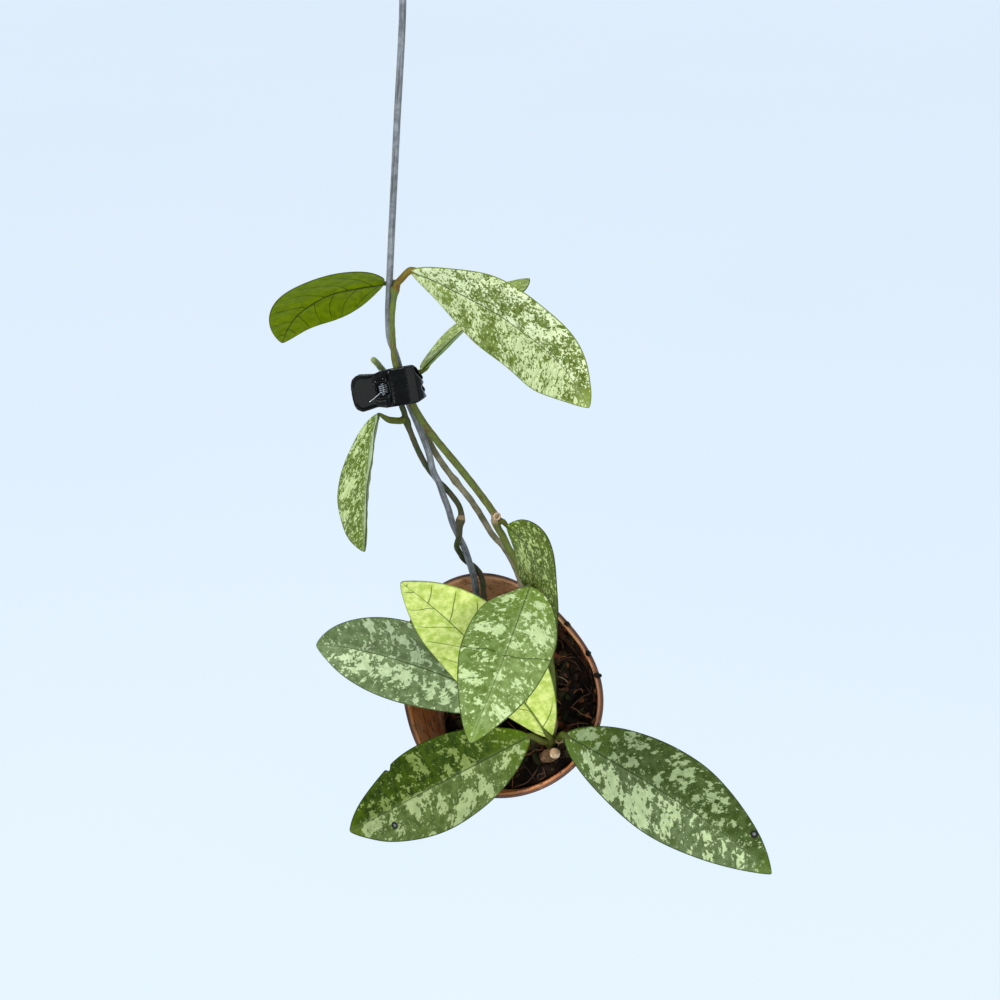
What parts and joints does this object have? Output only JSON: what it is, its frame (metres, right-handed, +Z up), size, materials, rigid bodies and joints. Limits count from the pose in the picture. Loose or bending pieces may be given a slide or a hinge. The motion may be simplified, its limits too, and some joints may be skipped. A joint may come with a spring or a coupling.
{
  "type": "splash hoya crassipetiolata in a hanging pot",
  "caption": "Young climbing plant with waxy, pale-splashed leaves in a small tapered plastic pot that hangs from one bent wire, its vines clipped to the wire.",
  "frame": {"origin": "the point of the wire's crook that rests on a rail", "axes": "+Z up against gravity as the plant hangs, -Y towards the viewer that the pot's mouth faces, +X to that viewer's right"},
  "size_m": [0.2042, 0.1709, 0.3795],
  "materials": {
    "galvanised_wire": "satin",
    "spring_steel": "satin",
    "black_plastic": "satin",
    "green_stem": "satin",
    "dark_stem": "satin",
    "brown_stem": "matte",
    "splash_leaf": "satin",
    "splash_leaf_pale": "satin",
    "leaf_underside": "satin",
    "lime_leaf": "satin",
    "terracotta_plastic": "satin",
    "husk": "matte"
  },
  "bodies": {
    "hanging": {"wire_hanger": "galvanised_wire", "vine_main": "green_stem", "vine_twining": "dark_stem", "vine_brown": "brown_stem", "clip_rear": "black_plastic", "clip_pin": "spring_steel", "clip_spring": "spring_steel", "leaf_upper_left": "leaf_underside", "leaf_upper_right": "splash_leaf_pale", "leaf_rear_narrow": "splash_leaf", "leaf_middle_left": "splash_leaf", "leaf_right": "splash_leaf", "leaf_centre": "splash_leaf", "leaf_lime": "lime_leaf", "leaf_left": "splash_leaf", "leaf_lower_left": "splash_leaf", "leaf_lower_right": "splash_leaf", "pot": "terracotta_plastic", "medium": "husk"},
    "clip_front": {"clip_front": "black_plastic", "clip_spring_leg": "spring_steel"}
  },
  "joints": [
    {"name": "clip_hinge", "type": "hinge", "parent": "hanging", "child": "clip_front", "pos_m": [-0.02047, -0.00183, -0.18326], "axis": [0.1736, -0.3368, -0.9254], "range_deg": [0, 35], "stiffness_Nm_per_rad": 0.01, "springref_deg": -22.92}
  ]
}
